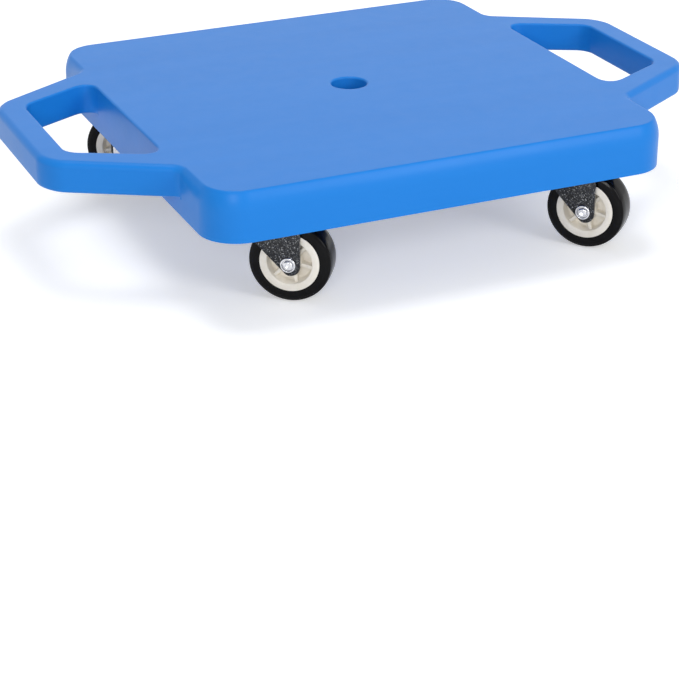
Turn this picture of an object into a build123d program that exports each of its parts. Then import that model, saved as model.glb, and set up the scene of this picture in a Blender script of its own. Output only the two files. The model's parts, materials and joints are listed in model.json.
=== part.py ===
"""Four-wheeled scooter board: a moulded deck with two handle loops on swivel casters.

Millimetres, +Z up, +X along the line through both handles, +Y to the back.
The origin is on the floor under the middle of the deck.
"""
import os
from math import radians, tan
from build123d import *

os.makedirs("parts", exist_ok=True)

# Deck: a square board with a trapezoid handle loop on each X end
TOP_Z = 87.0
DECK_HALF_X = 151.0
DECK_HALF_Y = 150.0
DECK_THICK = 30.5
DECK_CORNER_R = 24.0
WALL = 4.0
SKIN = 4.0
EDGE_R = 6.5

# Handle loops: the arms leave the deck end at ARM_Y and meet the grip at GRIP_Y
HANDLE_THICK = 19.5
HANDLE_REACH = 70.0
ARM_Y = 95.4
GRIP_Y = 54.4
NOTCH_R = 7.0
GRIP_CORNER_R = 23.6
BAR_WIDTH = 20.0
HOLE_SETBACK = 2.0
HOLE_DECK_Y = 70.0
HOLE_GRIP_Y = 43.5
HOLE_DECK_R = 8.7
HOLE_GRIP_R = 12.0
HOLE_EDGE = 2.4
CHANNEL_WALL = 3.6
CHANNEL_ROOT = 10.0
CHANNEL_RIB = 2.5
GRIP_RIB_PITCH = 20.0
ARM_RIB_STEPS = (21.0, 37.0)

# Underside ribs and the hole in the middle
RIB_THICK = 3.0
RIB_RISE = 1.8
CENTRE_HOLE_R = 11.5
CENTRE_LIP = 1.6
CENTRE_TUBE_WALL = 4.0

# Casters: how far each swivel axis is from the deck's edges, the corner each one
# stands in, and the way it trails in the photograph
SWIVEL_INSET_X = 49.0
SWIVEL_INSET_Y = 48.0
CORNERS = {
    "front_left": (-1, -1),
    "front_right": (1, -1),
    "rear_left": (-1, 1),
    "rear_right": (1, 1),
}
HEADING_DEG = {"front_left": -36, "front_right": -48, "rear_left": 148, "rear_right": 158}
PLATE_CLEARANCE = 1.0

# Wheel
WHEEL_R = 25.4
TYRE_HALF = 9.0
RIM_R = 18.3
RIM_BORE_R = 13.8
WEB_HALF = 1.4
BOSS_R = 6.6
SPOKES = 6
SPOKE_THICK = 2.2
SPOKE_INSET = 2.8
END_PLAY = 0.3

# Fork: a pressed yoke whose legs are creased ahead of the axle
TRAIL = 18.0
LEG_THICK = 1.8
LEG_GAP_HALF = 10.2
CREASE_U = 12.6
CREASE_DEG = 3.0
LEG_REAR = 7.3
LEG_FOOT = 7.2
LEG_FRONT_U = -13.0
LEG_SLANT = 8.0
LEG_SHOULDER = 12.4
LEG_NOTCH_R = 2.0
LEG_TOE_R = 3.5
LEG_HEEL_R = 6.4
LEG_SHOULDER_R = 6.0
CROWN_R = 17.5
CROWN_THICK = 2.2
BEND_R = 1.6

# Swivel: plate, ball track, crown and king pin share one axis
SEAT_Z = 63.5
PLATE_X = 56.0
PLATE_Y = 44.0
PLATE_THICK = 2.2
PLATE_CORNER_R = 6.0
TRACK_R = 14.2
TRACK_HEIGHT = 2.6
SWIVEL_GAP = 0.3
PIN_R = 4.0
PIN_HEAD_R = 8.3
PIN_HEAD_THICK = 3.3

# Fasteners
SCREW_X = 21.0
SCREW_Y = 15.0
SCREW_HOLE_R = 2.7
SCREW_POST = 5.0
AXLE_R = 3.0
AXLE_HEAD_R = 4.7
AXLE_HEAD_THICK = 2.2
NUT_AF = 10.0
NUT_THICK = 4.2
BOLT_END = 1.2

# Clearances
FIT = 0.05
RUNNING = 0.08

PLATE_BOTTOM = SEAT_Z - PLATE_THICK
TRACK_TOP = PLATE_BOTTOM - SWIVEL_GAP
CROWN_TOP = TRACK_TOP - TRACK_HEIGHT
CROWN_BOTTOM = CROWN_TOP - CROWN_THICK
PIN_HEAD_TOP = CROWN_BOTTOM - SWIVEL_GAP
LEG_OUTER = LEG_GAP_HALF + LEG_THICK
DECK_BOTTOM = TOP_Z - DECK_THICK
HANDLE_BOTTOM = TOP_Z - HANDLE_THICK
SKIN_UNDER = TOP_Z - SKIN
GRIP_X = DECK_HALF_X + HANDLE_REACH
SWIVEL_X = DECK_HALF_X - SWIVEL_INSET_X
SWIVEL_Y = DECK_HALF_Y - SWIVEL_INSET_Y


def rounded_face(corners):
    """Flat face through (x, y, radius) corners, each rounded by its own radius."""
    outline = Polyline(*[(x, y) for x, y, _ in corners], close=True)
    face = make_face(outline)
    for x, y, radius in corners:
        if radius > 0:
            nearest = min(face.vertices(), key=lambda v: (v.X - x) ** 2 + (v.Y - y) ** 2)
            face = fillet(nearest, radius)
    return face


def slab(face, low, high):
    """The face standing from height low to height high."""
    return extrude(Pos(0, 0, low) * face, amount=high - low, dir=(0, 0, 1))


def block(x0, x1, y0, y1, z0, z1):
    """A box given by its limits."""
    centre = Pos((x0 + x1) / 2, (y0 + y1) / 2, (z0 + z1) / 2)
    return centre * Box(x1 - x0, y1 - y0, z1 - z0)


def rod(x, y, z0, z1, radius):
    """An upright cylinder from z0 to z1."""
    return Pos(x, y, (z0 + z1) / 2) * Cylinder(radius, z1 - z0)


def deck_square(inset):
    """The deck's plan, drawn in by inset on all sides."""
    x = DECK_HALF_X - inset
    y = DECK_HALF_Y - inset
    r = DECK_CORNER_R - inset
    return rounded_face([(x, -y, r), (x, y, r), (-x, y, r), (-x, -y, r)])


def board_outline():
    """The plan of the deck and both handles, without the hand holes."""
    half = [
        (DECK_HALF_X, -DECK_HALF_Y, DECK_CORNER_R),
        (DECK_HALF_X, -ARM_Y, NOTCH_R),
        (GRIP_X, -GRIP_Y, GRIP_CORNER_R),
        (GRIP_X, GRIP_Y, GRIP_CORNER_R),
        (DECK_HALF_X, ARM_Y, NOTCH_R),
        (DECK_HALF_X, DECK_HALF_Y, DECK_CORNER_R),
    ]
    return rounded_face(half + [(-x, -y, r) for x, y, r in half])


def hand_hole(side):
    """The plan of one hand hole; side is 1 or -1 along X."""
    near = side * (DECK_HALF_X + HOLE_SETBACK)
    far = side * (GRIP_X - BAR_WIDTH)
    return rounded_face([
        (near, -HOLE_DECK_Y, HOLE_DECK_R),
        (far, -HOLE_GRIP_Y, HOLE_GRIP_R),
        (far, HOLE_GRIP_Y, HOLE_GRIP_R),
        (near, HOLE_DECK_Y, HOLE_DECK_R),
    ])


def outer_block():
    """The solid block of the deck and handles, with all its rounded edges."""
    outline = board_outline()
    holes = [hand_hole(side) for side in (-1, 1)]
    upper = slab(outline, HANDLE_BOTTOM, TOP_Z)
    for hole in holes:
        upper -= slab(hole, HANDLE_BOTTOM - 1, TOP_Z + 1)
    lower = slab(deck_square(0), DECK_BOTTOM, HANDLE_BOTTOM)
    body = upper + lower
    top = body.faces().sort_by(Axis.Z)[-1]
    body = fillet(top.outer_wire().edges(), EDGE_R)
    top = body.faces().sort_by(Axis.Z)[-1]
    rims = [edge for wire in top.inner_wires() for edge in wire.edges()]
    return chamfer(rims, HOLE_EDGE)


def handle_channels():
    """The open channels under both handles, with their cross ribs left out."""
    shell = offset(board_outline(), amount=-CHANNEL_WALL)
    half = CHANNEL_RIB / 2
    low = HANDLE_BOTTOM - 1
    root = DECK_HALF_X + CHANNEL_ROOT
    cuts = []
    for side in (-1, 1):
        keep = Pos(side * (root + GRIP_X) / 2, 0) * Rectangle(GRIP_X - root, 2 * DECK_HALF_Y)
        plan = (shell & keep) - offset(hand_hole(side), amount=CHANNEL_WALL)
        channel = slab(plan, low, SKIN_UNDER)
        x0, x1 = sorted((side * (GRIP_X - BAR_WIDTH), side * GRIP_X))
        for i in range(-2, 3):
            y = i * GRIP_RIB_PITCH
            channel -= block(x0, x1, y - half, y + half, low, SKIN_UNDER)
        for step in ARM_RIB_STEPS:
            x = DECK_HALF_X + step
            channel -= block(side * x - half, side * x + half, -DECK_HALF_Y, DECK_HALF_Y, low, SKIN_UNDER)
        cuts.append(channel)
    return cuts


def caster_spots():
    """The four swivel centres in plan."""
    return [(sx * SWIVEL_X, sy * SWIVEL_Y) for sx, sy in CORNERS.values()]


def screw_spots(x, y):
    """The four screw centres round one swivel centre."""
    return [(x + i * SCREW_X, y + j * SCREW_Y) for i in (-1, 1) for j in (-1, 1)]


def rib_lines(swivel, pocket):
    """Rib centre lines along one axis: the middle, both sides of a caster pocket, and halfway to it."""
    inner = swivel - pocket - RIB_THICK / 2
    outer = swivel + pocket + RIB_THICK / 2
    lines = [inner / 2, inner, outer]
    return [0.0] + lines + [-line for line in lines]


def rib_grid():
    """Underside ribs; four of the cells they form are caster pockets with ribs and screw posts."""
    foot = DECK_BOTTOM + RIB_RISE
    half = RIB_THICK / 2
    reach_x = DECK_HALF_X - WALL + 1
    reach_y = DECK_HALF_Y - WALL + 1
    pocket_x = PLATE_X / 2 + PLATE_CLEARANCE
    pocket_y = PLATE_Y / 2 + PLATE_CLEARANCE
    top = SKIN_UNDER + 1
    grid = Part()
    for line in rib_lines(SWIVEL_X, pocket_x):
        grid += block(line - half, line + half, -reach_y, reach_y, foot, top)
    for line in rib_lines(SWIVEL_Y, pocket_y):
        grid += block(-reach_x, reach_x, line - half, line + half, foot, top)
    for x, y in caster_spots():
        grid += block(x - half, x + half, y - pocket_y - 1, y + pocket_y + 1, SEAT_Z, top)
        grid += block(x - pocket_x - 1, x + pocket_x + 1, y - half, y + half, SEAT_Z, top)
        for i in (-1, 1):
            x0, x1 = sorted((x + i * (SCREW_X - SCREW_POST), x + i * (pocket_x + 1)))
            for j in (-1, 1):
                y0, y1 = sorted((y + j * (SCREW_Y - SCREW_POST), y + j * (pocket_y + 1)))
                grid += block(x0, x1, y0, y1, SEAT_Z, top)
    return grid


def deck():
    """The whole moulding."""
    body = outer_block()
    body -= slab(deck_square(WALL), DECK_BOTTOM - 1, SKIN_UNDER)
    for channel in handle_channels():
        body -= channel
    body += rib_grid()
    tube_r = CENTRE_HOLE_R + CENTRE_TUBE_WALL
    body += rod(0, 0, DECK_BOTTOM + RIB_RISE, SKIN_UNDER + 1, tube_r)
    body -= rod(0, 0, DECK_BOTTOM - 1, TOP_Z + 1, CENTRE_HOLE_R)
    lip = body.edges().filter_by(GeomType.CIRCLE).filter_by(
        lambda e: abs(e.radius - CENTRE_HOLE_R) < 0.01 and e.center().Z > TOP_Z - 0.1)
    return chamfer(lip, CENTRE_LIP)


def mount_plate():
    """Plate with four screw holes, and the king pin that is riveted into it."""
    plate = slab(RectangleRounded(PLATE_X, PLATE_Y, PLATE_CORNER_R), PLATE_BOTTOM, SEAT_Z)
    for x, y in screw_spots(0, 0):
        plate -= rod(x, y, PLATE_BOTTOM - 1, SEAT_Z + 1, SCREW_HOLE_R)
    pin = rod(0, 0, PIN_HEAD_TOP - 0.5, PLATE_BOTTOM + 0.5, PIN_R)
    head = rod(0, 0, PIN_HEAD_TOP - PIN_HEAD_THICK, PIN_HEAD_TOP, PIN_HEAD_R)
    return plate + pin + head


def fork():
    """Crown disc with its ball track, and two creased legs; the wheel trails towards +X."""
    lean = tan(radians(CREASE_DEG)) * (CREASE_U - LEG_FRONT_U)
    rear = TRAIL + LEG_REAR
    foot = WHEEL_R - LEG_FOOT
    slant = TRAIL + WHEEL_R - LEG_SLANT
    profile = rounded_face([
        (LEG_FRONT_U, CROWN_TOP, 0),
        (LEG_FRONT_U, slant - LEG_FRONT_U, LEG_NOTCH_R),
        (slant - foot, foot, LEG_TOE_R),
        (rear, foot, LEG_HEEL_R),
        (rear, CROWN_TOP - LEG_SHOULDER, LEG_SHOULDER_R),
        (1 - LEG_FRONT_U, CROWN_TOP, 0),
    ])
    side = extrude(Plane.XZ * profile, amount=2 * LEG_OUTER, both=True)
    body = Part()
    for s in (-1, 1):
        strip = make_face(Polyline(
            (LEG_FRONT_U, s * (LEG_OUTER - lean)),
            (CREASE_U, s * LEG_OUTER),
            (rear, s * LEG_OUTER),
            (rear, s * LEG_GAP_HALF),
            (CREASE_U, s * LEG_GAP_HALF),
            (LEG_FRONT_U, s * (LEG_GAP_HALF - lean)),
            close=True))
        body += slab(strip, foot - 1, CROWN_TOP) & side
    bounds = make_face(Polyline(
        (LEG_FRONT_U - 5, -(LEG_OUTER - lean)),
        (LEG_FRONT_U, -(LEG_OUTER - lean)),
        (CREASE_U, -LEG_OUTER),
        (CROWN_R, -LEG_OUTER),
        (CROWN_R, LEG_OUTER),
        (CREASE_U, LEG_OUTER),
        (LEG_FRONT_U, LEG_OUTER - lean),
        (LEG_FRONT_U - 5, LEG_OUTER - lean),
        close=True))
    body += slab(Circle(CROWN_R) & bounds, CROWN_BOTTOM, CROWN_TOP)
    bends = body.edges().filter_by(
        lambda e: e.center().Z > CROWN_TOP - 0.01 and abs(e.center().Y) > LEG_GAP_HALF
        and e.length > CROWN_R / 3 and e.geom_type == GeomType.LINE)
    body = fillet(bends, BEND_R)
    body += rod(0, 0, CROWN_TOP - 0.5, TRACK_TOP, TRACK_R)
    body -= rod(0, 0, CROWN_BOTTOM - 1, TRACK_TOP + 1, PIN_R + FIT)
    body -= Pos(TRAIL, 0, WHEEL_R) * Rot(90, 0, 0) * Cylinder(AXLE_R + FIT, 4 * LEG_OUTER)
    return body


def across(v0, v1, radius):
    """A cylinder on the axle from v0 to v1 along Y."""
    return Pos(TRAIL, (v0 + v1) / 2, WHEEL_R) * Rot(90, 0, 0) * Cylinder(radius, abs(v1 - v0))


def hexagon(v0, v1, flats):
    """A hexagonal prism on the axle, with its corners up and down."""
    face = RegularPolygon(flats / 2, 6, major_radius=False, rotation=90)
    return extrude(Pos(TRAIL, v1, WHEEL_R) * Rot(90, 0, 0) * face, amount=v1 - v0)


def axle_bolt():
    """Round-head bolt through both legs; its head is on the -Y leg."""
    head = across(-LEG_OUTER - AXLE_HEAD_THICK, -LEG_OUTER, AXLE_HEAD_R)
    shank = across(-LEG_OUTER - 0.5, LEG_OUTER + NUT_THICK + BOLT_END, AXLE_R)
    return head + shank


def axle_nut():
    """Hexagonal nut on the +Y leg."""
    nut = hexagon(LEG_OUTER, LEG_OUTER + NUT_THICK, NUT_AF)
    return nut - across(LEG_OUTER - 1, LEG_OUTER + NUT_THICK + 1, AXLE_R + FIT / 2)


def hub():
    """Spoked plastic wheel centre."""
    boss_half = LEG_GAP_HALF - END_PLAY
    body = across(-TYRE_HALF, TYRE_HALF, RIM_R) - across(-TYRE_HALF - 1, TYRE_HALF + 1, RIM_BORE_R)
    body += across(-WEB_HALF, WEB_HALF, RIM_BORE_R + 1)
    body += across(-boss_half, boss_half, BOSS_R)
    spoke_half = TYRE_HALF - SPOKE_INSET
    middle = (BOSS_R + RIM_BORE_R) / 2
    length = RIM_BORE_R - BOSS_R + 2
    for i in range(SPOKES):
        spoke = Pos(middle, 0, 0) * Box(length, 2 * spoke_half, SPOKE_THICK)
        body += Pos(TRAIL, 0, WHEEL_R) * Rot(0, 360 / SPOKES * i + 15, 0) * spoke
    return body - across(-boss_half - 1, boss_half + 1, AXLE_R + RUNNING)


def tyre():
    """Solid tyre bonded round the hub."""
    return across(-TYRE_HALF, TYRE_HALF, WHEEL_R) - across(-TYRE_HALF - 1, TYRE_HALF + 1, RIM_R)


export_step(deck(), "parts/deck.step")

plate = mount_plate()
TURNING = {
    "fork": fork(),
    "axle_bolt": axle_bolt(),
    "axle_nut": axle_nut(),
    "hub": hub(),
    "tyre": tyre(),
}
for corner, (sx, sy) in CORNERS.items():
    place = Pos(sx * SWIVEL_X, sy * SWIVEL_Y, 0)
    export_step(place * plate, f"parts/mount_plate_{corner}.step")
    for name, shape in TURNING.items():
        export_step(place * Rot(0, 0, HEADING_DEG[corner]) * shape, f"parts/{name}_{corner}.step")
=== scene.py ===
"""Scooter board in its studio view: a moulded blue deck with two handle loops on four swivel casters."""
import json
import math

import bmesh
import bpy
from mathutils import Matrix, Vector


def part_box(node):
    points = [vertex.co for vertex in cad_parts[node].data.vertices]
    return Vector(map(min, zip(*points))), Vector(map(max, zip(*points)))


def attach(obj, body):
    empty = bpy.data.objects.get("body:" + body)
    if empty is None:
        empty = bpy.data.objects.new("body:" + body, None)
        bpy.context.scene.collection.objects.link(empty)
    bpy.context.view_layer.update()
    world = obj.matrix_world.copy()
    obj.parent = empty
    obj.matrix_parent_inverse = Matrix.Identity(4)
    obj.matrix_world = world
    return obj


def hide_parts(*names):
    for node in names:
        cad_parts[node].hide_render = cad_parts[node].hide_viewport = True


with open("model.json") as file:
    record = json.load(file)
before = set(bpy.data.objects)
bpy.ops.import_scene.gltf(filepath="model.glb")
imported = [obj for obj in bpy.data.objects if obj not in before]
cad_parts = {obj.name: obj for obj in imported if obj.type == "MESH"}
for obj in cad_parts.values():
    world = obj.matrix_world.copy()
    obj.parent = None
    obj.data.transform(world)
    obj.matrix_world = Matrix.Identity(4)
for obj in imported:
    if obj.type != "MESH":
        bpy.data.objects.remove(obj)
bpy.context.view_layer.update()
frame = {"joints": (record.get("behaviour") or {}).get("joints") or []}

# Studio camera. A long lens looks down on the board from its front left corner; its
# place and turn were solved from the board's outline. Metres and degrees.
TOP_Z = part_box("deck")[1][2]
CAMERA_AT = (-0.50254, -1.12098, TOP_Z + 0.41855)
CAMERA_YAW = 23.83
CAMERA_PITCH = 26.13
CAMERA_ROLL = -0.23
FOCAL_PIXELS = 1996.2
PHOTO_WIDTH = 679
SENSOR_MM = 36.0

lens = bpy.data.cameras.new("studio_camera")
lens.sensor_width = SENSOR_MM
lens.lens = SENSOR_MM * FOCAL_PIXELS / PHOTO_WIDTH
lens.clip_end = 20
camera = bpy.data.objects.new("studio_camera", lens)
bpy.context.scene.collection.objects.link(camera)
camera.matrix_world = (
    Matrix.Translation(CAMERA_AT)
    @ Matrix.Rotation(math.radians(-CAMERA_YAW), 4, "Z")
    @ Matrix.Rotation(math.radians(90 - CAMERA_PITCH), 4, "X")
    @ Matrix.Rotation(math.radians(CAMERA_ROLL), 4, "Z")
)
bpy.context.scene.camera = camera
bpy.context.scene.view_settings.view_transform = "Standard"

# Studio room. A wide white floor under an even white sky and four soft lamps; sky and
# floor are fuller white to the camera and in reflections than they are as a light.
SKY_LIGHT = 0.40
SKY_TINT = (0.97, 0.985, 1, 1)
FLOOR_HALF = 6.0
FLOOR_WHITE = (0.93, 0.93, 0.93, 1)
FLOOR_NEAR = 0.4
FLOOR_FAR = 1.8
NEAR_LIFT = 0.36
FAR_LIFT = 0.68
LAMP_AIM = (0, 0, 0.05)


def nodes_of(owner):
    """The node tree of a material or world, and functions that add a node and join two sockets."""
    owner.use_nodes = True
    tree = owner.node_tree

    def add(kind, settings=None, **inputs):
        node = tree.nodes.new("ShaderNode" + kind)
        for name, value in (settings or {}).items():
            setattr(node, name, value)
        for name, value in inputs.items():
            node.inputs[name.replace("_", " ")].default_value = value
        return node

    return tree, add, tree.links.new


def seen_rays(add, join):
    """A socket that is 1 for the camera's rays and for reflected and clear ones, else 0."""
    rays = add("LightPath")
    seen = add("Math", {"operation": "MAXIMUM"})
    seen_or_clear = add("Math", {"operation": "MAXIMUM"})
    join(rays.outputs["Is Camera Ray"], seen.inputs[0])
    join(rays.outputs["Is Glossy Ray"], seen.inputs[1])
    join(seen.outputs[0], seen_or_clear.inputs[0])
    join(rays.outputs["Is Transmission Ray"], seen_or_clear.inputs[1])
    return seen_or_clear.outputs[0]


def graded(add, *limits):
    """A node that maps a range to another: from low, from high, to low, to high."""
    node = add("MapRange")
    for socket, limit in zip(node.inputs[1:5], limits):
        socket.default_value = limit
    return node


def place_mesh(name, bm, material):
    """Turns a bmesh into an object at the origin with one material."""
    bmesh.ops.recalc_face_normals(bm, faces=bm.faces[:])
    mesh = bpy.data.meshes.new(name)
    bm.to_mesh(mesh)
    bm.free()
    mesh.materials.append(material)
    piece = bpy.data.objects.new(name, mesh)
    bpy.context.scene.collection.objects.link(piece)
    return piece


def soft_lamp(name, place, size, watts):
    """A square area lamp that faces the board."""
    data = bpy.data.lights.new(name, "AREA")
    data.shape = "SQUARE"
    data.size = size
    data.energy = watts
    lamp = bpy.data.objects.new(name, data)
    bpy.context.scene.collection.objects.link(lamp)
    lamp.location = place
    lamp.rotation_euler = (Vector(LAMP_AIM) - Vector(place)).to_track_quat("-Z", "Y").to_euler()


world = bpy.data.worlds.new("studio_sky")
bpy.context.scene.world = world
tree, add, join = nodes_of(world)
tree.nodes.clear()
sky = add("Background", Color=SKY_TINT, Strength=SKY_LIGHT)
white = add("Background", Color=(1, 1, 1, 1), Strength=1.0)
either = add("MixShader")
join(seen_rays(add, join), either.inputs[0])
join(sky.outputs[0], either.inputs[1])
join(white.outputs[0], either.inputs[2])
join(either.outputs[0], add("OutputWorld").inputs[0])

floor_paint = bpy.data.materials.new("floor_paint")
tree, add, join = nodes_of(floor_paint)
paint = tree.nodes["Principled BSDF"]
paint.inputs["Base Color"].default_value = FLOOR_WHITE
paint.inputs["Roughness"].default_value = 0.9
paint.inputs["Emission Color"].default_value = (1, 1, 1, 1)
place = add("TexCoord")
away = add("VectorMath", {"operation": "LENGTH"})
lift_there = graded(add, FLOOR_NEAR, FLOOR_FAR, NEAR_LIFT, FAR_LIFT)
lift = add("Math", {"operation": "MULTIPLY"})
join(place.outputs["Object"], away.inputs[0])
join(away.outputs["Value"], lift_there.inputs[0])
join(seen_rays(add, join), lift.inputs[0])
join(lift_there.outputs[0], lift.inputs[1])
join(lift.outputs[0], paint.inputs["Emission Strength"])
bm = bmesh.new()
bmesh.ops.create_grid(bm, x_segments=1, y_segments=1, size=FLOOR_HALF)
floor = place_mesh("floor", bm, floor_paint)

soft_lamp("front_lamp", (-0.95, -1.5, 0.75), 0.5, 9)
soft_lamp("right_lamp", (0.75, -1.5, 0.75), 0.75, 10.5)
soft_lamp("top_lamp", (-0.1, 0.1, 2.1), 1.0, 16)
soft_lamp("back_lamp", (0.75, 1.75, 0.95), 2.0, 2.5)

# Deck. One injection moulding in blue polypropylene: a flat seat with two handle loops,
# rounded on every outer edge, 4 mm thick and open underneath, with stiffening ribs and
# four pockets that hold the caster plates. Sizes in millimetres, as on its drawing.
MM = 0.001
DECK_X = 151.0
DECK_Y = 150.0
DECK_CORNER = 24.0
DECK_THICK = 30.5
WALL = 4.0
SKIN = 4.0
RIB = 3.0
RIB_RISE = 1.8
HANDLE_THICK = 19.5
HANDLE_REACH = 70.0
ARM_Y = 95.4
NOTCH = 7.0
GRIP_Y = 54.4
GRIP_CORNER = 23.6
BAR = 17.9
HOLE_NEAR = (72.0, 9.0)
HOLE_FAR = (45.0, 11.5)
CENTRE_HOLE = 11.5
CENTRE_LAND = 4.0
TOP_ROUND = 4.2
TOP_HEM = 0.8
SIDE_ARC = 25.0
SIDE_BLEND = 16.0
SIDE_CREASE = 1.2
CREASE_SHARE = 0.53
HOLE_ROUND = 1.3
CENTRE_ROUND = 1.4
HANDLE_FOOT_ROUND = 2.0
DECK_FOOT_ROUND = 1.2
FOOT_HEM = 0.4
CHANNEL_WALL = 3.6
CHANNEL_ROOT = 6.5
CHANNEL_RIB = 2.5
CHANNEL_RIBS_X = (172, 188)
CHANNEL_RIBS_Y = (-40, -20, 0, 20, 40)
SWIVEL = (102.0, 102.0)
POCKET = (29.0, 23.0)
POST = (16.0, 10.0)
SEAT_Z = 63.5
CLOSE = 0.01
SLACK = 0.1
SQUARE_EDGE = 1.2
PAST_DECK = 0.5
POCKET_NEAR = 2.0
AXES = (Vector((1, 0, 0)), Vector((0, 1, 0)), Vector((0, 0, 1)))

top = TOP_Z / MM
grip_x = DECK_X + HANDLE_REACH
hole_out = grip_x - BAR
handle_low = top - HANDLE_THICK
deck_low = top - DECK_THICK
skin_low = top - SKIN


def round_corner(bm, vert, radius, segments):
    """Rounds one corner of a flat outline."""
    sides = [edge.other_vert(vert).co - vert.co for edge in vert.link_edges]
    setback = radius / math.tan(sides[0].angle(sides[1]) / 2)
    bmesh.ops.bevel(bm, geom=[vert], offset=setback, offset_type="OFFSET", segments=segments,
                    profile=0.5, affect="VERTICES", material=-1, clamp_overlap=False)


def round_edges(bm, edges, radius, segments):
    """Rounds edges with an even quarter curve and returns the new faces."""
    made = bmesh.ops.bevel(bm, geom=edges, offset=radius, offset_type="OFFSET", segments=segments,
                           profile=0.5, affect="EDGES", material=-1, clamp_overlap=False, loop_slide=True)
    return made["faces"]


def cut(bm, faces, place, normal):
    """Cuts some faces along a plane and returns all the faces that lie where they lay."""
    geom = set(faces)
    for face in faces:
        geom.update(face.edges)
        geom.update(face.verts)
    result = bmesh.ops.bisect_plane(bm, geom=list(geom), dist=1e-4, plane_co=place, plane_no=normal)
    kept = {item for item in result["geom"] if isinstance(item, bmesh.types.BMFace)}
    return list(kept | {face for face in faces if face.is_valid})


def verts_in(geom):
    """The vertices among the elements that a bmesh operator returned."""
    return [item for item in geom if isinstance(item, bmesh.types.BMVert)]


def raise_faces(bm, faces, height, apart=False):
    """Extrudes faces to a height, all together or one by one, and returns the moved faces."""
    if apart:
        moved = bmesh.ops.extrude_discrete_faces(bm, faces=faces)["faces"]
    else:
        geom = bmesh.ops.extrude_face_region(bm, geom=faces)["geom"]
        moved = [item for item in geom if isinstance(item, bmesh.types.BMFace)]
        bmesh.ops.delete(bm, geom=[face for face in faces if face.is_valid], context="FACES")
    for vert in {vert for face in moved for vert in face.verts}:
        vert.co.z = height
    return moved


def soften(bm, degrees=40):
    """Shades every face smooth and keeps the edges sharper than an angle crisp."""
    for edge in bm.edges:
        if len(edge.link_faces) == 2:
            edge.smooth = edge.calc_face_angle(0) < math.radians(degrees)
    for face in bm.faces:
        face.smooth = True


def rim(bm, height, kind):
    """The square edges round one kind of opening, or round the outside, at a height."""
    found = []
    for edge in bm.edges:
        if len(edge.link_faces) != 2 or abs(edge.calc_face_angle(0)) < SQUARE_EDGE:
            continue
        a, b = (vert.co for vert in edge.verts)
        if abs(a.z - height) > CLOSE or abs(b.z - height) > CLOSE:
            continue
        mid = (a + b) / 2
        if math.hypot(mid.x, mid.y) < CENTRE_HOLE + CENTRE_LAND:
            where = "centre"
        elif DECK_X - SLACK < abs(mid.x) < hole_out + SLACK and abs(mid.y) < HOLE_NEAR[0] + SLACK:
            where = "hand"
        else:
            where = "outer"
        if where == kind:
            found.append(edge)
    return found


def flat_faces(bm, height):
    """The level faces of the underside at a height."""
    level = [face for face in bm.faces if abs(face.normal.z) > 0.99]
    return [face for face in level if abs(face.calc_center_median().z - height) < CLOSE]


half_plan = [(-grip_x, 0, 0, 0), (-grip_x, -GRIP_Y, GRIP_CORNER, 10), (-DECK_X, -ARM_Y, NOTCH, 6),
             (-DECK_X, -DECK_Y, DECK_CORNER, 12), (DECK_X, -DECK_Y, DECK_CORNER, 12),
             (DECK_X, -ARM_Y, NOTCH, 6), (grip_x, -GRIP_Y, GRIP_CORNER, 10), (grip_x, 0, 0, 0),
             (hole_out, 0, 0, 0), (hole_out, -HOLE_FAR[0], HOLE_FAR[1], 8),
             (DECK_X, -HOLE_NEAR[0], HOLE_NEAR[1], 8), (DECK_X, 0, 0, 0),
             (CENTRE_HOLE, 0, 0, 0), (CENTRE_HOLE, -CENTRE_HOLE, CENTRE_HOLE, 12),
             (-CENTRE_HOLE, -CENTRE_HOLE, CENTRE_HOLE, 12), (-CENTRE_HOLE, 0, 0, 0),
             (-DECK_X, 0, 0, 0), (-DECK_X, -HOLE_NEAR[0], HOLE_NEAR[1], 8),
             (-hole_out, -HOLE_FAR[0], HOLE_FAR[1], 8), (-hole_out, 0, 0, 0)]
bm = bmesh.new()
corners = [bm.verts.new((x, y, top)) for x, y, radius, segments in half_plan]
bm.faces.new(corners)
for vert, (x, y, radius, segments) in zip(corners, half_plan):
    if radius:
        round_corner(bm, vert, radius, segments)
bmesh.ops.remove_doubles(bm, verts=bm.verts[:], dist=CLOSE)
bmesh.ops.mirror(bm, geom=bm.verts[:] + bm.edges[:] + bm.faces[:], axis="Y", merge_dist=CLOSE)
for vert in verts_in(bmesh.ops.extrude_face_region(bm, geom=bm.faces[:], use_keep_orig=True)["geom"]):
    vert.co.z = handle_low
bmesh.ops.recalc_face_normals(bm, faces=bm.faces[:])

crease_in = TOP_ROUND - SIDE_CREASE * CREASE_SHARE
arc_depth = math.sqrt(SIDE_ARC ** 2 - (SIDE_ARC - crease_in) ** 2)


def side_depth(depth):
    """How deep a point of the handles' even rounding lies on the deck's own, arched side."""
    inset = TOP_ROUND - math.sqrt(TOP_ROUND ** 2 - (TOP_ROUND - depth) ** 2)
    arc = arc_depth - math.sqrt(SIDE_ARC ** 2 - (SIDE_ARC - inset) ** 2)
    to_top = TOP_ROUND - inset
    if to_top >= SIDE_CREASE:
        return arc
    return max(arc, SIDE_CREASE - math.sqrt(SIDE_CREASE ** 2 - to_top ** 2))


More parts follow.
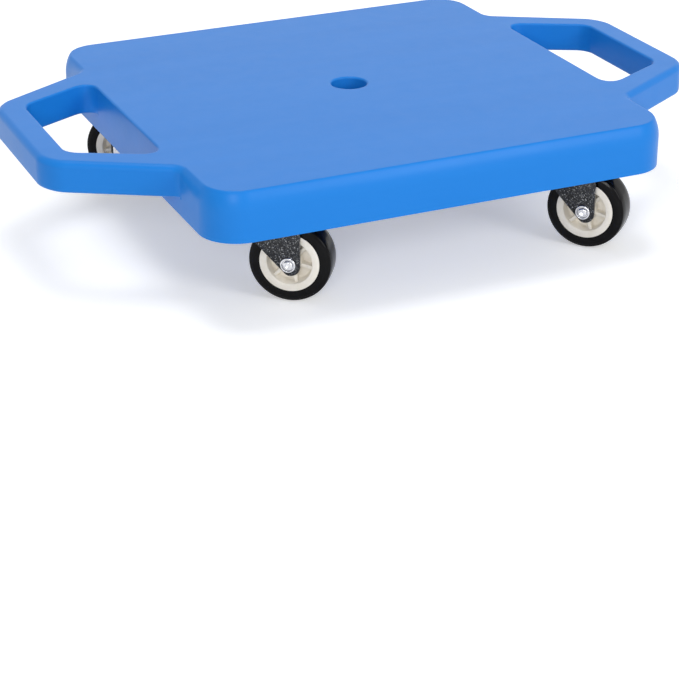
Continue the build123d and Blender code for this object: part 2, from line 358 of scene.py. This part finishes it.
sides = round_edges(bm, rim(bm, top, "outer"), TOP_ROUND, 12)
for vert in {vert for face in sides for vert in face.verts}:
    depth = max(0, top - vert.co.z)
    on_deck = min(1, max(0, (abs(vert.co.y) - ARM_Y) / SIDE_BLEND))
    on_deck *= on_deck * (3 - 2 * on_deck)
    vert.co.z = top - depth - (side_depth(depth) - depth) * on_deck
round_edges(bm, rim(bm, top, "hand"), HOLE_ROUND, 4)
round_edges(bm, rim(bm, top, "centre"), CENTRE_ROUND, 6)
seat = [face for face in bm.faces if len(face.verts) > 40 and face.calc_center_median().z > top - SLACK]
bmesh.ops.inset_region(bm, faces=seat, thickness=TOP_HEM, use_even_offset=True)

low = [face for face in bm.faces if face.calc_center_median().z < handle_low + CLOSE]
for side in (-1, 1):
    low = cut(bm, low, AXES[0] * side * DECK_X, AXES[0])
raise_faces(bm, [face for face in low if abs(face.calc_center_median().x) < DECK_X], deck_low)
round_edges(bm, rim(bm, deck_low, "outer"), DECK_FOOT_ROUND, 4)
handle_rim = rim(bm, handle_low, "outer") + rim(bm, handle_low, "hand")
handle_end = DECK_X + PAST_DECK
handle_rim = [edge for edge in handle_rim if max(abs(vert.co.x) for vert in edge.verts) > handle_end]
round_edges(bm, handle_rim, HANDLE_FOOT_ROUND, 4)
for height in (handle_low + HANDLE_FOOT_ROUND + FOOT_HEM, deck_low + DECK_FOOT_ROUND + FOOT_HEM):
    cut(bm, bm.faces[:], AXES[2] * height, AXES[2])

half_rib = RIB / 2
inset = WALL - half_rib - DECK_FOOT_ROUND
deck_bottom = flat_faces(bm, deck_low)
bmesh.ops.inset_region(bm, faces=deck_bottom, thickness=inset, use_even_offset=True)
deck_bottom = raise_faces(bm, deck_bottom, deck_low + RIB_RISE)
for axis in (0, 1):
    inner = SWIVEL[axis] - POCKET[axis] - half_rib
    outer = SWIVEL[axis] + POCKET[axis] + half_rib
    for line in (0, inner / 2, inner, outer, -inner / 2, -inner, -outer):
        deck_bottom = cut(bm, deck_bottom, AXES[axis] * line, AXES[axis])
bmesh.ops.inset_individual(bm, faces=deck_bottom, thickness=half_rib, use_even_offset=True)


def in_pocket(face):
    """Whether a cell of the rib grid is one of the caster pockets."""
    middle = face.calc_center_median()
    return all(abs(abs(middle[i]) - SWIVEL[i]) < POCKET_NEAR for i in (0, 1))


pockets = [face for face in deck_bottom if in_pocket(face)]
raise_faces(bm, [face for face in deck_bottom if not in_pocket(face)], skin_low, apart=True)
for pocket in raise_faces(bm, pockets, SEAT_Z, apart=True):
    middle = pocket.calc_center_median()
    cells = [pocket]
    for axis in (0, 1):
        for offset in (0, POST[axis] + half_rib, -POST[axis] - half_rib):
            cells = cut(bm, cells, AXES[axis] * (middle[axis] + offset), AXES[axis])
    quarters = {}
    for cell in cells:
        spot = cell.calc_center_median() - middle
        if abs(spot.x) < POST[0] or abs(spot.y) < POST[1]:
            quarters.setdefault((spot.x > 0, spot.y > 0), []).append(cell)
    for quarter in quarters.values():
        bmesh.ops.inset_region(bm, faces=quarter, thickness=half_rib, use_even_offset=True)
        raise_faces(bm, quarter, skin_low)

half_rib = CHANNEL_RIB / 2
inset = CHANNEL_WALL - half_rib - HANDLE_FOOT_ROUND
channel = flat_faces(bm, handle_low)
for side in (-1, 1):
    channel = cut(bm, channel, AXES[0] * side * (DECK_X + CHANNEL_ROOT), AXES[0])
channel = [face for face in channel if abs(face.calc_center_median().x) > DECK_X + CHANNEL_ROOT]
bmesh.ops.inset_region(bm, faces=channel, thickness=inset, use_even_offset=True)
for x in CHANNEL_RIBS_X:
    for side in (-1, 1):
        channel = cut(bm, channel, AXES[0] * side * x, AXES[0])
for y in CHANNEL_RIBS_Y:
    channel = cut(bm, channel, AXES[1] * y, AXES[1])
bmesh.ops.inset_individual(bm, faces=channel, thickness=half_rib, use_even_offset=True)
raise_faces(bm, channel, skin_low, apart=True)
soften(bm)
bmesh.ops.scale(bm, vec=(MM, MM, MM), verts=bm.verts[:])


def shades(ramp, stops):
    """Sets the stops of a colour ramp from (position, colour) pairs."""
    ramp.color_ramp.elements[0].position, ramp.color_ramp.elements[0].color = stops[0]
    ramp.color_ramp.elements[1].position, ramp.color_ramp.elements[1].color = stops[-1]
    for position, colour in stops[1:-1]:
        ramp.color_ramp.elements.new(position).color = colour


blue = bpy.data.materials.new("blue_polypropylene")
tree, add, join = nodes_of(blue)
plastic = tree.nodes["Principled BSDF"]
plastic.inputs["Specular IOR Level"].default_value = 0.17
place = add("TexCoord")
along_board = add("Mapping", Scale=(5, 38, 38), Rotation=(0, 0, math.radians(-14)))
flow_marks = add("TexNoise", Scale=1.0, Detail=4.0, Roughness=0.6, Distortion=0.4)
flow_colour = add("ValToRGB")
shades(flow_colour, [(0.25, (0.009, 0.196, 0.645, 1)),
                     (0.5, (0.011, 0.203, 0.66, 1)),
                     (0.8, (0.014, 0.212, 0.68, 1))])
satin = add("TexNoise", Scale=90.0, Detail=5.0, Roughness=0.65)
satin_range = graded(add, 0.3, 0.7, 0.34, 0.38)
orange_peel = add("TexNoise", Scale=620.0, Detail=2.0, Roughness=0.5)
peel_bump = add("Bump", Strength=0.35, Distance=0.00006)
sink_waves = add("TexNoise", Scale=0.55, Detail=1.5, Roughness=0.45)
sink_bump = add("Bump", Strength=0.08, Distance=0.0007)
for texture in (along_board, satin, orange_peel):
    join(place.outputs["Object"], texture.inputs["Vector"])
for texture in (flow_marks, sink_waves):
    join(along_board.outputs[0], texture.inputs["Vector"])
join(flow_marks.outputs[0], flow_colour.inputs[0])
join(flow_colour.outputs[0], plastic.inputs["Base Color"])
join(satin.outputs[0], satin_range.inputs[0])
join(satin_range.outputs[0], plastic.inputs["Roughness"])
join(orange_peel.outputs[0], peel_bump.inputs["Height"])
join(sink_waves.outputs[0], sink_bump.inputs["Height"])
join(peel_bump.outputs[0], sink_bump.inputs["Normal"])
join(sink_bump.outputs[0], plastic.inputs["Normal"])
deck = place_mesh("deck_moulding", bm, blue)
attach(deck, "board")
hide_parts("deck")

# Mount plates. Each is a stamped, zinc-plated steel sheet with four screw holes, held in
# its pocket of the deck. A caster is modelled once, in millimetres round its swivel axis
# with the wheel towards +X, and then put under each corner.
PLATE = (56.0, 44.0)
PLATE_CORNER = 6.0
PLATE_THICK = 2.2
PLATE_EDGE = 0.35
SCREW_SPOTS = [(x, y) for x in (-21.0, 21.0) for y in (-15.0, 15.0)]
SCREW_HOLE = 2.7
PIN_R = 4.0
PIN_FIT = 0.02
UP = (0, 0, 1)
plate_low = SEAT_Z - PLATE_THICK

joints = {joint["name"]: joint for joint in frame["joints"]}
CORNERS = [name.removeprefix("swivel_") for name in joints if name.startswith("swivel_")]


def corner_place(corner):
    """The matrix that puts a caster modelled in millimetres under one corner of the deck."""
    swivel = Vector(joints["swivel_" + corner]["pos_m"])
    axle = Vector(joints["wheel_spin_" + corner]["pos_m"])
    swivel.z = 0
    turn = math.atan2(axle.y - swivel.y, axle.x - swivel.x)
    return Matrix.Translation(swivel) @ Matrix.Rotation(turn, 4, "Z") @ Matrix.Scale(MM, 4)


def fit_casters(part, build, material, body, node=None, turned=True):
    """Makes one part of all four casters from the same bmesh recipe."""
    for corner in CORNERS:
        bm = build()
        place = corner_place(corner)
        if not turned:
            place = Matrix.Translation(place.translation) @ Matrix.Scale(MM, 4)
        bmesh.ops.transform(bm, matrix=place, verts=bm.verts[:])
        piece = place_mesh(f"{part}_of_{corner}", bm, material)
        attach(piece, body if body == "board" else f"{body}_{corner}")
        if node:
            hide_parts(f"{node}_{corner}")


def drill(bm, faces, centre, normal, radius, segments=32):
    """Cuts a round hole of a radius into a flat face and returns the faces left of it."""
    middle = Vector(centre)
    normal = Vector(normal)
    half = radius * 1.5
    for line in (AXES[0], normal.cross(AXES[0])):
        for side in (-1, 1):
            faces = cut(bm, faces, middle + line * side * half, line)
    cell = min(faces, key=lambda item: (item.calc_center_median() - middle).length)
    square = list(cell.edges)
    faces = [item for item in faces if item != cell]
    bmesh.ops.delete(bm, geom=[cell], context="FACES_ONLY")
    place = Matrix.Translation(middle) @ Vector(UP).rotation_difference(normal).to_matrix().to_4x4()
    ring = bmesh.ops.create_circle(bm, segments=segments, radius=radius, matrix=place)["verts"]
    rim_edges = list({edge for vert in ring for edge in vert.link_edges})
    bridged = bmesh.ops.bridge_loops(bm, edges=square + rim_edges)["faces"]
    return faces + bridged


def thicken(bm, thickness, direction):
    """Turns a flat sheet into a plate by extruding it along a direction."""
    geom = bmesh.ops.extrude_face_region(bm, geom=bm.faces[:], use_keep_orig=True)["geom"]
    bmesh.ops.translate(bm, vec=Vector(direction) * thickness, verts=verts_in(geom))
    bmesh.ops.recalc_face_normals(bm, faces=bm.faces[:])


def sharp_edges(bm, degrees=50):
    """The edges of a solid that are sharper than an angle."""
    inner = [edge for edge in bm.edges if len(edge.link_faces) == 2]
    return [edge for edge in inner if edge.calc_face_angle(0) > math.radians(degrees)]


def bare_edge(bm, on_edge):
    """Marks the faces where the sheet was cut and its steel shows lighter."""
    bare = bm.faces.layers.float.new("bare_edge")
    for face in bm.faces:
        face[bare] = float(on_edge(face.normal))


def mount_plate():
    """A plate with round corners, four screw holes and a hole for the king pin."""
    bm = bmesh.new()
    x, y = PLATE[0] / 2, PLATE[1] / 2
    verts = [bm.verts.new((*corner, SEAT_Z)) for corner in ((-x, -y), (x, -y), (x, y), (-x, y))]
    bm.faces.new(verts)
    for vert in verts:
        round_corner(bm, vert, PLATE_CORNER, 8)
    faces = bm.faces[:]
    for x, y in SCREW_SPOTS:
        faces = drill(bm, faces, (x, y, SEAT_Z), UP, SCREW_HOLE)
    drill(bm, faces, (0, 0, SEAT_Z), UP, PIN_R + PIN_FIT)
    thicken(bm, PLATE_THICK, (0, 0, -1))
    round_edges(bm, sharp_edges(bm), PLATE_EDGE, 2)
    bare_edge(bm, lambda normal: abs(normal.z) < 0.95)
    soften(bm)
    return bm


zinc = bpy.data.materials.new("zinc_plated_steel")
tree, add, join = nodes_of(zinc)
metal = tree.nodes["Principled BSDF"]
metal.inputs["Metallic"].default_value = 1.0
place = add("TexCoord")
spangle = add("TexVoronoi", Scale=1900.0, Randomness=1.0)
spangle_colour = add("ValToRGB")
shades(spangle_colour, [(0.0, (0.022, 0.023, 0.026, 1)),
                        (0.62, (0.036, 0.037, 0.040, 1)),
                        (0.78, (0.07, 0.072, 0.076, 1)),
                        (0.93, (0.34, 0.35, 0.36, 1))])
bare = add("Attribute", {"attribute_name": "bare_edge"})
bare_mix = add("Mix", {"data_type": "RGBA"})
bare_mix.inputs[7].default_value = (0.30, 0.30, 0.31, 1)
dull = add("TexNoise", Scale=320.0, Detail=4.0, Roughness=0.6)
dull_range = graded(add, 0.3, 0.7, 0.24, 0.44)
pits = add("TexNoise", Scale=1300.0, Detail=3.0, Roughness=0.6)
grain = add("Bump", Strength=0.25, Distance=0.00006)
for texture in (spangle, dull, pits):
    join(place.outputs["Object"], texture.inputs["Vector"])
join(spangle.outputs["Color"], spangle_colour.inputs[0])
join(bare.outputs["Fac"], bare_mix.inputs["Factor"])
join(spangle_colour.outputs[0], bare_mix.inputs[6])
join(bare_mix.outputs[2], metal.inputs["Base Color"])
join(dull.outputs[0], dull_range.inputs[0])
join(dull_range.outputs[0], metal.inputs["Roughness"])
join(pits.outputs[0], grain.inputs["Height"])
join(grain.outputs[0], metal.inputs["Normal"])
fit_casters("mount_plate", mount_plate, zinc, "board", "mount_plate", turned=False)

# King pins. A zinc-plated steel rivet with a washer goes through the crown of the fork
# and is riveted into the middle of the mount plate, so that the fork swivels on it.
PIN_SINK = 0.05
PIN_GAP = 0.3
PIN_HEAD_R = 8.3
WASHER_THICK = 1.6
RIVET_R = 6.4
RIVET_END_R = 5.4
RIVET_HIGH = 1.7
RIVET_STEP = 0.1
CROWN_LOW = 56.2


def turned_part(bm, corners, centre, axis, steps=64):
    """A round part: a profile of (along, out, rounding, segments) corners, spun round its axis."""
    start = set(bm.faces)
    along = Vector(axis)
    out = AXES[0] if along.z else AXES[2]
    verts = [bm.verts.new(Vector(centre) + along * a + out * r) for a, r, rounding, segments in corners]
    bm.faces.new(verts)
    for vert, (a, r, rounding, segments) in zip(verts, corners):
        if rounding:
            round_corner(bm, vert, rounding, segments)
    profile = [face for face in bm.faces if face not in start]
    edges = list({edge for face in profile for edge in face.edges})
    bmesh.ops.delete(bm, geom=profile, context="FACES_ONLY")
    verts = list({vert for edge in edges for vert in edge.verts})
    bmesh.ops.spin(bm, geom=verts + edges, cent=centre, axis=axis, angle=2 * math.pi,
                   steps=steps, use_merge=True, use_duplicate=False)
    bmesh.ops.remove_doubles(bm, verts=bm.verts[:], dist=0.002)
    bmesh.ops.dissolve_degenerate(bm, dist=0.001, edges=bm.edges[:])
    bmesh.ops.delete(bm, geom=[edge for edge in bm.edges if not edge.link_faces], context="EDGES")


def king_pin():
    """The pin's shank, its washer under the crown and the closed rivet head."""
    bm = bmesh.new()
    pin_top = plate_low - PIN_SINK
    head_top = CROWN_LOW - PIN_GAP
    washer_low = head_top - WASHER_THICK
    rivet_low = washer_low - RIVET_HIGH
    turned_part(bm, [(pin_top, 0.0, 0, 0), (pin_top, PIN_R, 0, 0), (head_top, PIN_R, 0.3, 2),
                     (head_top, PIN_HEAD_R, 0.5, 3), (washer_low, PIN_HEAD_R, 0.8, 4),
                     (washer_low - RIVET_STEP, RIVET_R, 0.3, 2), (rivet_low, RIVET_END_R, 1.0, 4),
                     (rivet_low, 0.0, 0, 0)], (0, 0, 0), UP, 48)
    soften(bm)
    return bm


fit_casters("king_pin", king_pin, zinc, "board", turned=False)

# Plate screws. Four pan-head steel screws with a cross recess hold each mount plate to
# the moulded posts of its pocket.
SCREW_R = 2.4
SCREW_HEAD_R = 4.4
SCREW_HEAD = 2.4
SCREW_BRIM = 1.2
SCREW_CROWN_R = 2.9
SCREW_SINK = 0.1
RECESS_HALF = 1.9
RECESS_SLOT = 0.4
RECESS_DEEP = 1.2


def plate_screws():
    """The four screws of one plate, each with a cross cut into its head."""
    bm = bmesh.new()
    tip = SEAT_Z - SCREW_SINK
    low = plate_low - SCREW_HEAD
    for x, y in SCREW_SPOTS:
        turned_part(bm, [(tip, 0.0, 0, 0), (tip, SCREW_R, 0, 0), (plate_low, SCREW_R, 0, 0),
                         (plate_low, SCREW_HEAD_R, 0.3, 2), (plate_low - SCREW_BRIM, SCREW_HEAD_R, 0.6, 3),
                         (low, SCREW_CROWN_R, 0.5, 3), (low, 0.0, 0, 0)], (x, y, 0), UP, 28)
        middle = Vector((x, y, low))
        disc = [face for face in bm.faces if all(vert.co.z < low + CLOSE for vert in face.verts)]
        disc = [face for face in disc if (face.calc_center_median() - middle).length < SCREW_HEAD_R]
        cells = bmesh.ops.dissolve_faces(bm, faces=disc)["region"]
        for line in (-RECESS_HALF, -RECESS_SLOT, RECESS_SLOT, RECESS_HALF):
            for axis in (0, 1):
                cells = cut(bm, cells, middle + AXES[axis] * line, AXES[axis])
        cross = []
        for cell in cells:
            spot = cell.calc_center_median() - middle
            near, far = sorted((abs(spot.x), abs(spot.y)))
            if near < RECESS_SLOT and far < RECESS_HALF:
                cross.append(cell)
        raise_faces(bm, cross, low + RECESS_DEEP)
    soften(bm)
    return bm


def patchy_material(name, patches, tints, roughness, skin_scale, relief, **surface_values):
    """A material that varies in colour and gloss in soft patches, under a fine moulded skin."""
    material = bpy.data.materials.new(name)
    tree, add, join = nodes_of(material)
    surface = tree.nodes["Principled BSDF"]
    for socket, value in surface_values.items():
        surface.inputs[socket.replace("_", " ")].default_value = value
    place = add("TexCoord")
    patch = add("TexNoise", **patches)
    tint = add("ValToRGB")
    shades(tint, tints)
    gloss = graded(add, *roughness)
    skin = add("TexNoise", Scale=skin_scale, Detail=2.0, Roughness=0.5)
    bump = add("Bump", **relief)
    for texture in (patch, skin):
        join(place.outputs["Object"], texture.inputs["Vector"])
    join(patch.outputs[0], tint.inputs[0])
    join(tint.outputs[0], surface.inputs["Base Color"])
    join(patch.outputs[0], gloss.inputs[0])
    join(gloss.outputs[0], surface.inputs["Roughness"])
    join(skin.outputs[0], bump.inputs["Height"])
    join(bump.outputs[0], surface.inputs["Normal"])
    return material


bright = patchy_material(
    "bright_steel",
    patches={"Scale": 420.0, "Detail": 4.0, "Roughness": 0.6},
    tints=[(0.3, (0.52, 0.53, 0.55, 1)), (0.6, (0.74, 0.74, 0.76, 1))],
    roughness=(0.3, 0.7, 0.08, 0.2),
    skin_scale=2400.0,
    relief={"Strength": 0.2, "Distance": 0.00003},
    Metallic=1.0,
)
fit_casters("plate_screws", plate_screws, bright, "board", turned=False)

# Ball rings. Sixteen steel balls in a pressed steel cage run between the mount plate and
# the crown of the fork, and carry the load while it swivels.
BALLS = 16
BALL_R = 1.25
BALL_TRACK_R = 12.4
CAGE_IN = 10.4
CAGE_OUT = 14.1
CAGE_DOWN = 0.5
CAGE_UP = 0.4
CROWN_TOP = 58.4


def ball_ring():
    """The balls of one caster in their flat ring."""
    bm = bmesh.new()
    height = (plate_low + CROWN_TOP) / 2
    for i in range(BALLS):
        turn = Matrix.Rotation(2 * math.pi * i / BALLS, 4, "Z")
        bmesh.ops.create_icosphere(bm, subdivisions=2, radius=BALL_R,
                                   matrix=turn @ Matrix.Translation((BALL_TRACK_R, 0, height)))
    low, high = height - CAGE_DOWN, height + CAGE_UP
    turned_part(bm, [(low, CAGE_IN, 0.3, 2), (high, CAGE_IN, 0.3, 2), (high, CAGE_OUT, 0.3, 2),
                     (low, CAGE_OUT, 0.3, 2)], (0, 0, 0), UP, 48)
    soften(bm)
    return bm


fit_casters("ball_ring", ball_ring, bright, "caster")

# Forks. Each is one strip of zinc-plated steel pressed into a crown and two legs; the
# front of each leg is slanted and creased inwards, and the foot is rounded.
LEG_GAP = 10.2
LEG_THICK = 1.8
LEG_FRONT = -12.7
LEG_REAR = 25.3
LEG_LOW = 18.2
LEG_SLANT = 35.4
LEG_NOTCH_R = 2.0
LEG_TOE_R = 3.5
LEG_HEEL_R = 6.4
SHOULDER_Z = 46.0
SHOULDER_R = 6.0
CREASE_X = 12.6
CREASE_DEG = 3.0
CREASE_HALF = 0.9
CREASE_FLAT = 0.5
CREASE_DIP = 0.2
BEND = 1.5
SHEET_EDGE = 0.3
CROWN_REACH = 17.4
CROWN_REAR_Y = 8.0
CROWN_FRONT_Y = 7.0
CROWN_TAPER = 1.2
CROWN_CORNER = 6.0
CROWN_LAP = 0.1
PIN_PLAY = 0.05
AXLE_PLAY = 0.05
TRAIL = 18.0
AXLE_Z = 25.4
AXLE_R = 3.0
ACROSS = (0, 1, 0)
outer = LEG_GAP + LEG_THICK


def crown_sheet():
    """The crown as a mesh of its own, drilled for the king pin."""
    crown = bmesh.new()
    side = LEG_GAP + CROWN_LAP
    front = side - CROWN_TAPER
    plan = ((CREASE_X, -side), (CROWN_REACH, -CROWN_REAR_Y), (CROWN_REACH, CROWN_REAR_Y),
            (CREASE_X, side), (LEG_FRONT, front), (-CROWN_REACH, CROWN_FRONT_Y),
            (-CROWN_REACH, -CROWN_FRONT_Y), (LEG_FRONT, -front))
    corners = [crown.verts.new((x, y, CROWN_TOP)) for x, y in plan]
    crown.faces.new(corners)
    for vert in corners[1:3] + corners[5:7]:
        round_corner(crown, vert, CROWN_CORNER, 8)
    drill(crown, crown.faces[:], (0, 0, CROWN_TOP), UP, PIN_R + PIN_PLAY)
    thicken(crown, CROWN_TOP - CROWN_LOW, (0, 0, -1))
    round_edges(crown, sharp_edges(crown), SHEET_EDGE, 2)
    bare_edge(crown, lambda normal: abs(normal.z) < 0.9)
    sheet = bpy.data.meshes.new("crown_sheet")
    crown.to_mesh(sheet)
    crown.free()
    return sheet


def fork():
    """One leg, bent over at the top and creased, its mirror image, and the crown between them."""
    bm = bmesh.new()
    leg = [(LEG_FRONT, CROWN_TOP, 0), (LEG_FRONT, LEG_SLANT - LEG_FRONT, LEG_NOTCH_R),
           (LEG_SLANT - LEG_LOW, LEG_LOW, LEG_TOE_R), (LEG_REAR, LEG_LOW, LEG_HEEL_R),
           (LEG_REAR, SHOULDER_Z, SHOULDER_R), (-LEG_FRONT, CROWN_TOP, 0)]
    verts = [bm.verts.new((x, -outer, z)) for x, z, radius in leg]
    bm.faces.new(verts)
    for vert, (x, z, radius) in zip(verts, leg):
        if radius:
            round_corner(bm, vert, radius, 8)
    drill(bm, bm.faces[:], (TRAIL, -outer, AXLE_Z), ACROSS, AXLE_R + AXLE_PLAY)
    thicken(bm, LEG_THICK, ACROSS)
    on_top = {vert for vert in bm.verts if vert.co.z > CROWN_TOP - CLOSE and vert.co.y < -outer + CLOSE}
    round_edges(bm, [edge for edge in sharp_edges(bm) if on_top.issuperset(edge.verts)], BEND, 4)
    round_edges(bm, sharp_edges(bm), SHEET_EDGE, 2)
    bare_edge(bm, lambda normal: abs(normal.y) < 0.9 and normal.z < 0.5)
    for x in (CREASE_X - CREASE_HALF, CREASE_X, CREASE_X + CREASE_HALF):
        cut(bm, bm.faces[:], AXES[0] * x, AXES[0])
    lean = math.tan(math.radians(CREASE_DEG))
    for vert in bm.verts:
        past = CREASE_X - vert.co.x
        vert.co.y += lean * (max(0, past) if abs(past) > CREASE_FLAT else CREASE_DIP)
    bmesh.ops.mirror(bm, geom=bm.verts[:] + bm.edges[:] + bm.faces[:], axis="Y", merge_dist=0.001)
    sheet = crown_sheet()
    bm.from_mesh(sheet)
    bpy.data.meshes.remove(sheet)
    soften(bm)
    return bm


fit_casters("fork", fork, zinc, "caster", "fork")

# Axle bolts. A round-head steel bolt goes through both legs of the fork and the wheel;
# its head has a groove round the middle and a hexagon socket.
HEAD_R = 4.7
HEAD_THICK = 2.2
HEAD_BRIM = 1.35
GROOVE_R = (3.75, 3.5, 3.05)
GROOVE_LEFT = 0.25
BUTTON_R = (2.95, 2.4)
BUTTON_RISE = 0.5
SOCKET_R = 1.55
SOCKET_DEEP = 1.3
NUT_THICK = 4.2
BOLT_END = 1.1
axle = (TRAIL, 0, AXLE_Z)


def axle_bolt():
    """A turned bolt with a six-sided socket sunk into the end of its head."""
    bm = bmesh.new()
    end = outer + NUT_THICK + BOLT_END
    face = -outer - HEAD_THICK
    brim = -outer - HEAD_BRIM
    groove = -outer - GROOVE_LEFT
    turned_part(bm, [(end, 0.0, 0, 0), (end, AXLE_R, 0.6, 3), (-outer, AXLE_R, 0, 0),
                     (-outer, HEAD_R, 0.1, 1), (brim, HEAD_R, 0.55, 5), (brim, GROOVE_R[0], 0.2, 3),
                     (groove, GROOVE_R[1], 0.1, 2), (groove, GROOVE_R[2], 0.1, 2),
                     (face + BUTTON_RISE, BUTTON_R[0], 0.4, 4), (face, BUTTON_R[1], 0.8, 4),
                     (face, 0.0, 0, 0)], axle, ACROSS, 48)
    disc = [part for part in bm.faces if all(vert.co.y < face + CLOSE for vert in part.verts)]
    disc = bmesh.ops.dissolve_faces(bm, faces=disc)["region"]
    drill(bm, disc, (TRAIL, face, AXLE_Z), (0, -1, 0), SOCKET_R, 6)
    walls = bmesh.ops.extrude_edge_only(bm, edges=[edge for edge in bm.edges if edge.is_boundary])["geom"]
    bmesh.ops.translate(bm, vec=(0, SOCKET_DEEP, 0), verts=verts_in(walls))
    bmesh.ops.holes_fill(bm, edges=[edge for edge in bm.edges if edge.is_boundary], sides=6)
    soften(bm)
    return bm


fit_casters("axle_bolt", axle_bolt, bright, "caster", "axle_bolt")

# Axle nuts. A steel hexagon locknut with a round collar closes each bolt on the far leg
# of the fork.
NUT_FLATS = 10.0
HEX_THICK = 3.0
COLLAR_R = (4.3, 4.1)
COLLAR_LAP = 0.1
THREAD_PLAY = 0.1


def axle_nut():
    """A bevelled hexagon with the collar that holds the locking ring."""
    bm = bmesh.new()
    corner = NUT_FLATS / math.sqrt(3)
    middle = Matrix.Translation((TRAIL, outer + HEX_THICK / 2, AXLE_Z))
    place = middle @ Matrix.Rotation(math.radians(90), 4, "X")
    bmesh.ops.create_cone(bm, cap_ends=True, segments=6, radius1=corner, radius2=corner,
                          depth=HEX_THICK, matrix=place)
    round_edges(bm, sharp_edges(bm, 30), SHEET_EDGE, 2)
    bore = AXLE_R + THREAD_PLAY
    low, high = outer + HEX_THICK - COLLAR_LAP, outer + NUT_THICK
    turned_part(bm, [(low, bore, 0, 0), (low, COLLAR_R[0], 0, 0), (high, COLLAR_R[1], 0.5, 4),
                     (high, bore, 0.2, 2)], axle, ACROSS, 40)
    soften(bm)
    return bm


fit_casters("axle_nut", axle_nut, bright, "caster", "axle_nut")

# Hubs. Each is an ivory plastic moulding that runs on the axle: a boss between the legs,
# a web with six ribs on each side, and a broad ring that carries the tyre.
TYRE_HALF = 9.0
RIM_R = 18.3
RIM_BORE = 13.8
BOSS_R = 6.6
BOSS_FLARE = 0.4
BORE_FLARE = 0.5
HUB_PLAY = 0.3
BORE_PLAY = 0.08
WEB_HALF = 1.4
RIBS = 6
RIB_THICK = 2.2
RIB_INSET = 2.8
RIB_BITE = 0.6
RIB_ROUND = 0.45
RIB_TURN = math.radians(15)
boss_half = LEG_GAP - HUB_PLAY


def both_sides(side):
    """Half of a wheel's profile and its mirror image, as one closed profile."""
    return side + [(-a, r, rounding, segments) for a, r, rounding, segments in side[::-1]]


def hub():
    """The turned hub with its ribs set into the boss and the ring."""
    bm = bmesh.new()
    side = [(-boss_half, AXLE_R + BORE_PLAY, 0.2, 2), (-boss_half, BOSS_R, 0.5, 3),
            (-WEB_HALF, BOSS_R + BOSS_FLARE, 1.2, 4), (-WEB_HALF, RIM_BORE - BORE_FLARE, 1.2, 4),
            (-TYRE_HALF, RIM_BORE, 0.5, 4), (-TYRE_HALF, RIM_R, 0.2, 2)]
    turned_part(bm, both_sides(side), axle, ACROSS, 96)
    inner = BOSS_R - RIB_BITE
    outer = RIM_BORE + RIB_BITE
    size = Matrix.Diagonal((outer - inner, 2 * (TYRE_HALF - RIB_INSET), RIB_THICK, 1))
    for i in range(RIBS):
        turn = Matrix.Translation(axle) @ Matrix.Rotation(2 * math.pi * i / RIBS + RIB_TURN, 4, "Y")
        place = turn @ Matrix.Translation(((inner + outer) / 2, 0, 0)) @ size
        before = set(bm.edges)
        bmesh.ops.create_cube(bm, size=1, matrix=place)
        round_edges(bm, [edge for edge in bm.edges if edge not in before], RIB_ROUND, 3)
    soften(bm)
    return bm


ivory = patchy_material(
    "ivory_plastic",
    patches={"Scale": 150.0, "Detail": 4.0, "Roughness": 0.6},
    tints=[(0.3, (0.83, 0.775, 0.68, 1)), (0.55, (0.885, 0.84, 0.755, 1)), (0.8, (0.91, 0.87, 0.79, 1))],
    roughness=(0.3, 0.7, 0.34, 0.48),
    skin_scale=900.0,
    relief={"Strength": 0.3, "Distance": 0.00005},
)
fit_casters("hub", hub, ivory, "wheel", "hub")

# Tyres. Each is a tread of black polyurethane, cast round the ring of its hub, with
# rounded shoulders and a polished skin.
WHEEL_R = 25.4
TREAD_HALF = 4.0
TREAD_CROWN = 20.0
SHOULDER_OUT = 24.9
SHOULDER_IN = 22.6
SHOULDER_STEP = 1.0


def tyre():
    """A ring with flat sides, round shoulders and a slightly crowned tread."""
    bm = bmesh.new()
    side = [(-TYRE_HALF, RIM_R, 0.2, 2), (-TYRE_HALF, SHOULDER_IN, 1.2, 3),
            (-TYRE_HALF + SHOULDER_STEP, SHOULDER_OUT, 1.3, 5), (-TREAD_HALF, WHEEL_R, TREAD_CROWN, 3)]
    turned_part(bm, both_sides(side), axle, ACROSS, 128)
    soften(bm)
    return bm


black = patchy_material(
    "black_polyurethane",
    patches={"Scale": 120.0, "Detail": 5.0, "Roughness": 0.65},
    tints=[(0.35, (0.0028, 0.0028, 0.0032, 1)), (0.75, (0.0068, 0.0068, 0.0075, 1))],
    roughness=(0.3, 0.75, 0.07, 0.24),
    skin_scale=260.0,
    relief={"Strength": 0.25, "Distance": 0.0001},
    Specular_IOR_Level=0.1,
)
fit_casters("tyre", tyre, black, "wheel", "tyre")
